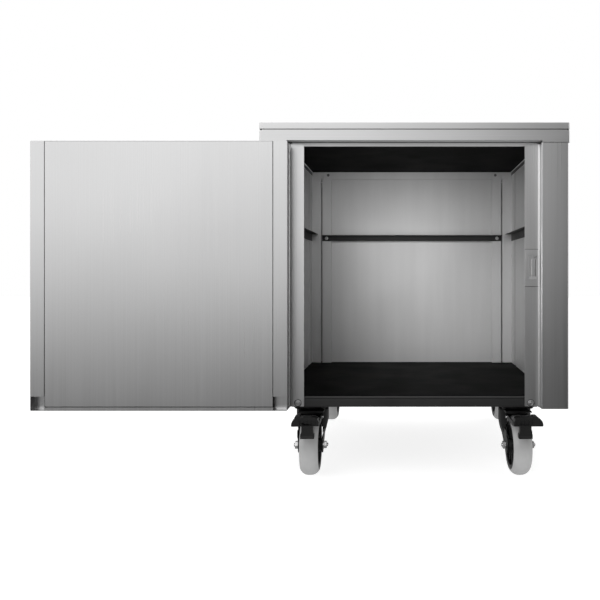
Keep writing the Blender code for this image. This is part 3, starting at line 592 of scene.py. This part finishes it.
def make_hinge():
    """Both leaves with knuckles at their real pitch, taking turns along the pin."""
    low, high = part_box("hinge_pin")
    pin_x, pin_y = (low[0] + high[0]) / 2, (low[1] + high[1]) / 2
    bottom, top = low[2] + 0.0005, high[2] - 0.0005
    pitch = (top - bottom) / KNUCKLES
    for first, node, body in ((0, "hinge_frame_leaf", "cabinet"), (1, "hinge_door_leaf", "door")):
        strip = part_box(node)
        if body == "door":
            lean, far = -1, strip[0][1]
            x0, x1 = pin_x + 0.0009, pin_x + 0.0015
            tab_end = x1
        else:
            lean, far = 1, strip[1][1]
            x0, x1 = strip[0][0], strip[0][0] + 0.0008
            tab_end = pin_x - 0.0017
        y0, y1 = sorted((pin_y + lean * 0.0070, far))
        pieces = [blocks([((x0, y0, bottom), (x1, y1, top))])]
        for index in range(first, KNUCKLES, 2):
            z0 = bottom + index * pitch + 0.0002
            z1 = z0 + pitch - 0.0004
            barrel = lathe([(0.0022, z1 - 0.0002), (0.0020, z1), (0.0012, z1), (0.0012, z0),
                            (0.0020, z0), (0.0022, z0 + 0.0002)], 20)
            pieces.append(moved(barrel, Matrix.Translation((pin_x, pin_y, 0))))
            tab = sorted((pin_y + lean * 0.0015, pin_y + lean * 0.0071))
            pieces.append(blocks([((x0, tab[0], z0), (tab_end, tab[1], z1))]))
        leaf = own(node.replace("_leaf", "") + "_knuckles", merge(*pieces), STEEL_Z, body, None)
        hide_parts(node)


# ---- casters ------------------------------------------------------------------------------------
TRAIL, LEG_LOW, LEG_HIGH, LEG_SHEET = 0.048, 0.0300, 0.0395, 0.0032
CROWN_LOW, CROWN_HIGH, CROWN_R, SKIRT_LOW = 0.1530, 0.1640, 0.0425, 0.1020
WHEEL_R, TREAD_WIDTH, TREAD_DROP, TYRE_BORE = 0.075, 0.0468, 0.0120, 0.0603
HUB_R, HUB_HALF, HUB_RIBS = 0.0600, 0.0224, 8
MOULD_LINE = 0.00018
PEDAL_PIN_Y, PEDAL_PIN_Z = -0.044, 0.146


def tyre_mesh(radius, width, bore):
    """Solid tread with a rounded crown, soft shoulders and a faint moulding line."""
    half, steps = width / 2, 28
    outer = []
    for i in range(steps + 1):
        h = half * cos(pi * i / steps)
        r = radius - TREAD_DROP * abs(h / half) ** 3
        outer.append((r if abs(h) < 0.0006 else r - MOULD_LINE, h))
    return lathe([(bore, half - 0.0008), (bore + 0.0010, half)] + outer
                 + [(bore + 0.0010, -half), (bore, -half + 0.0008)], 112)


def hub_mesh(radius, half):
    """Moulded wheel centre: rim, dished web with ribs, boss and a ring step on each face."""
    face = [(0.0063, 0.0276), (0.0150, 0.0276), (0.0168, 0.0262), (0.0175, 0.0125), (0.0200, 0.0104),
            (0.0340, 0.0100), (0.0350, 0.0112), (0.0362, 0.0112), (0.0372, 0.0100), (0.0470, 0.0104),
            (0.0500, 0.0130), (0.0508, half - 0.0010), (0.0520, half), (radius - 0.0008, half),
            (radius, half - 0.0008)]
    back = [(r, -h) for r, h in reversed(face)]
    body = lathe(face + back, 72)
    ribs = []
    for side in (-1, 1):
        low, high = sorted((side * 0.0098, side * 0.0195))
        outline = [(0.0172, low), (0.0505, low), (0.0505, high), (0.0172, high)]
        for i in range(HUB_RIBS):
            turn = Matrix.Rotation(2 * pi * (i + 0.5) / HUB_RIBS, 4, "Z")
            ribs.append(moved(prism(outline, "XZ", (-0.0013, 0.0013)), turn))
    return merge(body, *ribs)


def make_fork(name, body, matrix):
    """Fork pressing: round skirted crown, and legs that sweep forward and in to the axle."""
    top = CROWN_HIGH - LEG_SHEET / 2
    leg = [(LEG_LOW, 0.050), (LEG_LOW, 0.092), (LEG_HIGH, 0.134), (LEG_HIGH, top)]
    path = [(-x, z) for x, z in leg] + [(x, z) for x, z in reversed(leg)]
    bends = rounded_path(path, 0.012, 8)
    strip = sheet_strip(bends, LEG_SHEET, "XZ", (-0.10, 0.07))
    fork = own(name + "_fork_pressing", strip, BLACK, None, matrix)
    line = [(-0.060, 0.200), (-0.060, 0.140), (-0.0668, 0.084)]
    line += arc((-TRAIL, WHEEL_R), 0.0198, 172, 320, 16)
    line += [(-0.012, 0.0760), (0.012, 0.0925), (0.032, 0.1120), (0.0445, 0.1310), (0.0445, 0.200)]
    joined(fork, prism(line, "YZ", (-0.06, 0.06)), "INTERSECT")
    line = arc((0, 0), CROWN_R, -38, 218, 40) + [(-0.0335, -0.080), (0.0335, -0.080)]
    joined(fork, prism(line, "XY", (0.0, 0.2)), "INTERSECT")
    shell = [(0.0, CROWN_HIGH), (0.0300, CROWN_HIGH), (0.0325, CROWN_HIGH - 0.0008)]
    shell += arc((CROWN_R - 0.005, CROWN_HIGH - 0.006), 0.005, 80, 0, 6)
    shell += [(CROWN_R, SKIRT_LOW + 0.0008), (CROWN_R - 0.0008, SKIRT_LOW),
              (CROWN_R - LEG_SHEET, SKIRT_LOW), (CROWN_R - LEG_SHEET, CROWN_LOW), (0.0, CROWN_LOW)]
    crown = own(name + "_crown", lathe(shell, 72), BLACK, None, matrix)
    for room in (((-0.0285, -0.06, 0.09), (0.0285, 0.0, CROWN_LOW)),
                 ((-0.0120, -0.01, 0.09), (0.0120, 0.06, 0.1250))):
        joined(crown, blocks([room]), "DIFFERENCE")
    low, high = LEG_LOW + LEG_SHEET / 2, CROWN_R + 0.0002
    line = [(high, 0.20), (high, 0.139), (high - 0.0005, 0.133), (low + 0.0003, 0.094), (low, 0.088)]
    line += [(-x, z) for x, z in reversed(line)]
    joined(crown, prism(line, "XZ", (-0.06, 0.06)), "INTERSECT")
    combine(fork, crown, "UNION")
    for axis, where, radius, length in (("Z", (0, 0, 0.158), 0.0084, 0.015),
                                        ("X", (0, -TRAIL, WHEEL_R), 0.0063, 0.05)):
        hole = lathe([(0.0, length), (radius, length), (radius, -length), (0.0, -length)], 40)
        turn = Matrix.Translation(where) @ (TO_X if axis == "X" else Matrix.Identity(4))
        combine(fork, own(name + "_cut", hole, BLACK, None, matrix @ turn), "DIFFERENCE")
    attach(fork, body)
    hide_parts(name + "_fork")
    return round_edges(fork, 0.0006, 2)


def hexagon(across, low, high):
    """Hexagonal nut or head with chamfered corners, from low to high along Z."""
    r = across / 2 / cos(pi / 6)
    drop = 0.12 * (high - low)
    return lathe([(0.0, high), (0.86 * r, high), (r, high - drop), (r, low + drop), (0.90 * r, low),
                  (0.0, low)], 6, pi / 6)


def make_axle(name, body, matrix):
    """Axle bolt with its domed head at one end, and washer, nut and thread at the other."""
    face = LEG_LOW + LEG_SHEET / 2 + 0.0003
    end = [(0.0, face + 0.0128), (0.0032, face + 0.0128), (0.0046, face + 0.0112)]
    for i in range(5):
        h = face + 0.0108 - 0.0008 * i
        end += [(0.0049, h), (0.0045, h - 0.0004)]
    pieces = [
        lathe([(0.0, face), (0.0060, face), (0.0060, -face), (0.0, -face)], 32),
        lathe([(0.0, face + 0.0016), (0.0112, face + 0.0016), (0.0116, face + 0.0010),
               (0.0116, face), (0.0, face)], 40),
        hexagon(0.0170, face + 0.0016, face + 0.0092),
        lathe(end + [(0.0045, face + 0.0016), (0.0, face + 0.0016)], 32),
        moved(hexagon(0.0180, face, face + 0.0090), Matrix.Scale(-1, 4, (0, 0, 1))),
        moved(lathe([(0.0, face + 0.0124), (0.0030, face + 0.0120), (0.0046, face + 0.0108),
                     (0.0048, face + 0.0090), (0.0, face + 0.0090)], 32),
              Matrix.Scale(-1, 4, (0, 0, 1)))]
    axle = own(name + "_axle_hardware", merge(*pieces), ZINC, body,
               matrix @ Matrix.Translation((0, -TRAIL, WHEEL_R)) @ TO_X)
    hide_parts(name + "_axle_bolt")
    return axle


def make_mount(name, body, matrix):
    """Mounting plate with its four bolts, the swivel race and the kingpin's riveted end."""
    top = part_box(name + "_caster_plate")[1][2]
    under = top - 0.004
    race_low = CROWN_HIGH + 0.0005
    race = lathe([(0.0, under + 0.001), (0.0425, under + 0.001), (0.0425, under - 0.0015),
                  (0.0405, under - 0.0030), (0.0385, under - 0.0032), (0.0385, race_low + 0.0018),
                  (0.0370, race_low), (0.0080, race_low), (0.0080, CROWN_LOW - 0.0003),
                  (0.0120, CROWN_LOW - 0.0003), (0.0120, 0.1492), (0.0100, 0.1474), (0.0, 0.1470)], 56)
    corner = 0.008
    outline = []
    for x, y, start in ((0.035, 0.047, 0), (-0.035, 0.047, 90), (-0.035, -0.047, 180),
                        (0.035, -0.047, 270)):
        outline += arc((x, y), corner, start, start + 90, 6)
    seat = Matrix.Translation((matrix.translation.x, matrix.translation.y, 0))
    mount = own(name + "_top_plate", merge(prism(outline, "XY", (under, top)), race), BLACK, body, seat)
    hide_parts(name + "_caster_plate")
    round_edges(mount, 0.0005, 2)
    bolts = []
    for x in (-0.0345, 0.0345):
        for y in (-0.0455, 0.0455):
            spot = Matrix.Translation((x, y, 0)) @ Matrix.Rotation(x * 90 + y * 40, 4, "Z")
            bolts.append(moved(hexagon(0.0100, under - 0.0042, under - 0.0002), spot))
            washer = lathe([(0.0, under), (0.0075, under), (0.0075, under - 0.0010),
                            (0.0, under - 0.0010)], 24)
            bolts.append(moved(washer, spot))
    own(name + "_plate_bolts", merge(*bolts), BLACK_ZINC, body, seat)


def make_pedal(name, body, matrix):
    """Brake pedal: winged bar, ribbed tongue with a flared lip, two arms and the pin's bright ends."""
    side, reach = (-1, 0.0405) if name == "front_left" else (1, 0.0455)
    z = PEDAL_PIN_Z
    wing = ([(-0.0275, z - 0.0040), (reach - 0.0025, z - 0.0045)]
            + arc((reach - 0.0030, z - 0.0015), 0.0030, -80, 5, 4)
            + [(reach - 0.0006, z + 0.0030), (reach - 0.0022, z + 0.0075), (reach - 0.0052, z + 0.0118),
               (reach - 0.0085, z + 0.0140), (0.0318, z + 0.0152)]
            + arc((0.0288, z + 0.0175), 0.0032, -20, 90, 5)
            + [(0.0200, z + 0.0208), (0.0180, z + 0.0180), (-0.0170, z + 0.0178),
               (-0.0235, z + 0.0140), (-0.0270, z + 0.0060)])
    bar = own(name + "_brake_bar", prism([(side * x, h) for x, h in wing], "XZ", (-0.1315, -0.1090)),
              PLASTIC, None, matrix)
    lip = [(-0.0170, z - 0.0320), (-0.0160, z - 0.0330), (0.0160, z - 0.0330), (0.0170, z - 0.0320),
           (0.0172, z - 0.0225), (0.0150, z - 0.0190), (0.0142, z - 0.0120), (0.0142, z - 0.0010),
           (-0.0142, z - 0.0010), (-0.0142, z - 0.0120), (-0.0150, z - 0.0190), (-0.0172, z - 0.0225)]
    joined(bar, prism(lip, "XZ", (-0.1395, -0.1275)), "UNION")
    ridge = [(-0.1412, z - 0.0325), (-0.1360, z - 0.0329), (-0.1360, z - 0.0235), (-0.1400, z - 0.0255)]
    joined(bar, prism(ridge, "YZ", (-0.0155, 0.0155)), "UNION")
    for x in (-0.0266, 0.0266):
        arm = prism([(-0.120, z - 0.0055), (-0.060, z - 0.0060)]
                    + arc((PEDAL_PIN_Y, z), 0.0058, -110, 90, 8)
                    + [(-0.090, z + 0.0055), (-0.120, z + 0.0055)], "YZ", (x - 0.0016, x + 0.0016))
        joined(bar, arm, "UNION")
    joined(bar, blocks([((-0.0105, -0.1300, z + 0.0150), (0.0105, -0.1180, z + 0.0212))]), "UNION")
    slots = blocks([((x - 0.0012, -0.1330, z - 0.0010), (x + 0.0012, -0.1300, z + 0.0115))
                    for x in (-0.0190, -0.0095, 0.0, 0.0095, 0.0190)])
    joined(bar, slots, "DIFFERENCE")
    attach(bar, body)
    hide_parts(name + "_brake_pedal")
    round_edges(bar, 0.0009, 3)
    pins = []
    for x in (-1, 1):
        pin = lathe([(0.0, 0.0318), (0.0022, 0.0316), (0.0034, 0.0308), (0.0036, 0.0300),
                     (0.0036, 0.0277), (0.0, 0.0277)], 28)
        pins.append(moved(pin, Matrix.Scale(x, 4, (0, 0, 1))))
    own(name + "_brake_pin", merge(*pins), ZINC, body,
        matrix @ Matrix.Translation((0, PEDAL_PIN_Y, z)) @ TO_X)


def make_casters():
    """All four casters, each at its swivel's place and heading."""
    joints = {joint["name"]: joint for joint in frame["joints"]}
    for name in ("front_left", "front_right", "rear_left", "rear_right"):
        swivel, spin = joints[name + "_swivel_turn"], joints[name + "_wheel_spin"]
        x, y = swivel["pos_m"][:2]
        heading = atan2(spin["axis"][1], spin["axis"][0])
        matrix = Matrix.Translation((x, y, 0)) @ Matrix.Rotation(heading, 4, "Z")
        axle = matrix @ Matrix.Translation((0, -TRAIL, WHEEL_R)) @ TO_X
        tyre = own(name + "_tread", tyre_mesh(WHEEL_R, TREAD_WIDTH, TYRE_BORE), TREAD,
                   name + "_wheel", axle)
        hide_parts(name + "_tyre")
        hub = own(name + "_wheel_centre", hub_mesh(HUB_R, HUB_HALF), PLASTIC, name + "_wheel", axle)
        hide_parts(name + "_wheel_hub")
        make_fork(name, name + "_swivel", matrix)
        make_axle(name, name + "_swivel", matrix)
        make_mount(name, "cabinet", matrix)
        if name + "_brake_pedal" in NODES:
            make_pedal(name, name + "_pedal", matrix)


# ---- door seams and catch -----------------------------------------------------------------------
def make_seams():
    """Black strips set back in the seams round the door's inner panel: painted shade in the seams."""
    skin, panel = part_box("door_outer_pan"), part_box("door_inner_panel")
    near = skin[0][1] + 0.0016
    x0, x1 = panel[0][0], panel[1][0]
    z0, z1 = panel[0][2], panel[1][2]
    gap = 0.0017
    bars = [((x0 - gap, near, z0 - gap), (x0 + 0.0001, near + 0.004, z1 - 0.001)),
            ((x1 - 0.0001, near, z0 - gap), (x1 + gap, near + 0.004, z1 - 0.001)),
            ((x0 - gap, near, z0 - gap), (x1 + gap, near + 0.004, z0 + 0.0001))]
    seam_shade = own("door_seam_painted_shade", blocks(bars), SHADE_BLACK, "door", None)
    round_edges(seam_shade, 0.0003, 1)


def make_catch():
    """Catch set in the right jamb: steel-faced housing, a fine groove, a deep slot with painted shade in
    it, and edges painted lighter as a painted highlight.
    """
    low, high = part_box("catch_housing")
    x, y, z = low
    body = own("catch_frame", blocks([((x, y + 0.0002, z), high)]), STEEL_Z, None)
    left_lip = ((x, y - 0.0002, z), (x + 0.0012, y + 0.0010, high[2]))
    bar = ((x + 0.0088, y - 0.0003, z + 0.0092), (x + 0.0150, y + 0.0010, z + 0.0510))
    for raised in (left_lip, bar):
        joined(body, blocks([raised]), "UNION")
    grooves = (((x + 0.0068, y - 0.01, z + 0.0060), (x + 0.0082, y + 0.0022, z + 0.0530)),
               ((x + 0.0164, y - 0.01, z + 0.0086), (x + 0.0186, y + 0.0120, z + 0.0508)),
               ((x + 0.0040, y - 0.01, z + 0.0570), (x + 0.0186, y + 0.0016, z + 0.0582)))
    for groove in grooves:
        joined(body, blocks([groove]), "DIFFERENCE")
    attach(body, "cabinet")
    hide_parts("catch_housing")
    round_edges(body, 0.0003, 2)
    # black block in the deep slot: painted shade
    pocket = blocks([((x + 0.0165, y + 0.0060, z + 0.0087), (x + 0.0185, y + 0.0119, z + 0.0507))])
    own("catch_slot_shade", pocket, SHADE_BLACK, "cabinet", None)
    # lighter steel strips along the slot's edge and the lower lip: painted highlight
    edge = blocks([((x + 0.0189, y - 0.0003, z + 0.0086), (x + 0.0204, y + 0.0002, z + 0.0508))])
    lip = blocks([((x + 0.0014, y - 0.0003, z + 0.0004), (x + 0.0204, y + 0.0002, z + 0.0078))])
    own("catch_painted_highlight_edges", merge(edge, lip), HIGHLIGHT_STEEL, "cabinet", None)
    # thin black strips along the plate's top and bottom edges: painted shadow lines
    near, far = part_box("catch_plate")
    seams = blocks([((near[0] - 0.0002, far[1] - 0.0002, near[2] - 0.0010),
                     (far[0] + 0.0010, far[1] + 0.0001, near[2] + 0.0004)),
                    ((near[0] - 0.0002, far[1] - 0.0002, far[2] - 0.0004),
                     (far[0] + 0.0010, far[1] + 0.0001, far[2] + 0.0010))])
    own("catch_plate_painted_shade", seams, SHADE_BLACK, "cabinet", None)


make_seams()
make_catch()
make_screws()
make_rivets()
make_hinge()
make_casters()


# ---- floor, light and camera --------------------------------------------------------------------
FLOOR_TONE, FLOOR_GLOW = 0.50, 0.80


def make_stage():
    """Pale floor that the cabinet stands on, left out of the metal's reflections."""
    mesh = bmesh.new()
    bmesh.ops.create_grid(mesh, x_segments=1, y_segments=1, size=12.0)
    data = bpy.data.meshes.new("floor")
    mesh.to_mesh(data)
    mesh.free()
    floor = bpy.data.objects.new("floor", data)
    bpy.context.scene.collection.objects.link(floor)
    floor.location.z = CAD_BOX[0][2] - 0.0002
    surface, tree, shader = new_material("pale_floor", (FLOOR_TONE,) * 3, 0.85)
    shade = noise(tree, (1, 1, 1), 1.5, 2.0)
    colour = ramp(tree, shade, (0.3, (FLOOR_TONE - 0.01,) * 3), (0.7, (FLOOR_TONE + 0.01,) * 3))
    tree.links.new(colour, shader.inputs["Base Color"])
    shader.inputs["Emission Color"].default_value = (1.0, 1.0, 1.0, 1.0)
    shader.inputs["Emission Strength"].default_value = FLOOR_GLOW
    data.materials.append(surface)
    floor.visible_glossy = False


def area_light(name, location, target, size, power):
    """Rectangular light, aimed at a point and not seen by the camera."""
    lamp = bpy.data.lights.new(name, "AREA")
    lamp.shape = "RECTANGLE"
    lamp.size, lamp.size_y = size
    lamp.energy = power
    made = bpy.data.objects.new(name, lamp)
    bpy.context.scene.collection.objects.link(made)
    made.location = location
    made.visible_camera = False
    aim = Vector(target) - Vector(location)
    made.rotation_euler = aim.to_track_quat("-Z", "Y").to_euler()
    return made


def make_lights():
    """Soft surround and two lights inside.

    In front it is bright above and to the left, and falls off low down and to the right. Behind it is
    even. The camera itself sees plain white.
    """
    bpy.context.scene.view_settings.view_transform = "Standard"
    world = bpy.data.worlds.new("studio")
    bpy.context.scene.world = world
    world.use_nodes = True
    tree = world.node_tree
    backing = tree.nodes["Background"]
    backing.inputs["Color"].default_value = (1.0, 1.0, 1.0, 1.0)
    direction = add(tree, "ShaderNodeTexCoord").outputs["Generated"]
    parts = add(tree, "ShaderNodeSeparateXYZ")
    tree.links.new(direction, parts.inputs["Vector"])
    rise = spread(tree, parts.outputs["Z"], 0.0, 1.42, -0.20, 0.08)
    side = spread(tree, parts.outputs["X"], 1.0, 0.03, -0.04, 0.31)
    beyond = spread(tree, parts.outputs["X"], 0.0, 0.80, 0.62, 0.88)
    under = spread(tree, parts.outputs["Z"], 0.0, 0.07, -0.25, -0.45)
    behind = spread(tree, parts.outputs["Z"], 0.40, 0.95, -0.40, 0.50)
    round_back = spread(tree, parts.outputs["Y"], 0.0, 1.0, -0.50, -0.10)
    for soft in (rise, side, behind, round_back):
        soft.node.interpolation_type = "SMOOTHSTEP"
    across = combined(tree, "ADD", side, beyond)
    front = combined(tree, "ADD", combined(tree, "MULTIPLY", rise, across), under)
    glow = add(tree, "ShaderNodeMix")
    glow.data_type = "FLOAT"
    for socket, value in (("Factor", round_back), ("A", front), ("B", behind)):
        tree.links.new(value, glow.inputs[socket])
    seen = add(tree, "ShaderNodeLightPath").outputs["Is Camera Ray"]
    either = add(tree, "ShaderNodeMix")
    either.data_type = "FLOAT"
    either.inputs["B"].default_value = 1.0
    tree.links.new(seen, either.inputs["Factor"])
    tree.links.new(glow.outputs["Result"], either.inputs["A"])
    tree.links.new(either.outputs["Result"], backing.inputs["Strength"])
    mouth, back = FRONT_Y + 0.075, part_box("back_frame")[0][1]
    area_light("inside_fill", (CENTRE_X - 0.05, mouth, 0.800), (CENTRE_X, back, 0.62),
               (0.46, 0.08), 0.42)
    area_light("inside_low", (CENTRE_X - 0.10, mouth + 0.03, 0.50), (CENTRE_X + 0.34, back - 0.24, 0.53),
               (0.16, 0.30), 0.62)


def make_camera():
    """Level camera in front of the cabinet, its picture shifted to take in the open door."""
    lens = bpy.data.cameras.new("camera")
    lens.sensor_width = SENSOR
    lens.lens = SENSOR * CAMERA_DISTANCE / PICTURE_WIDTH
    lens.shift_x, lens.shift_y = CAMERA_SHIFT
    made = bpy.data.objects.new("camera", lens)
    bpy.context.scene.collection.objects.link(made)
    made.location = (CAMERA_X, FRONT_Y - CAMERA_DISTANCE, CAMERA_Z)
    made.rotation_euler = (radians(90), 0, 0)
    bpy.context.scene.camera = made


make_stage()
make_lights()
make_camera()
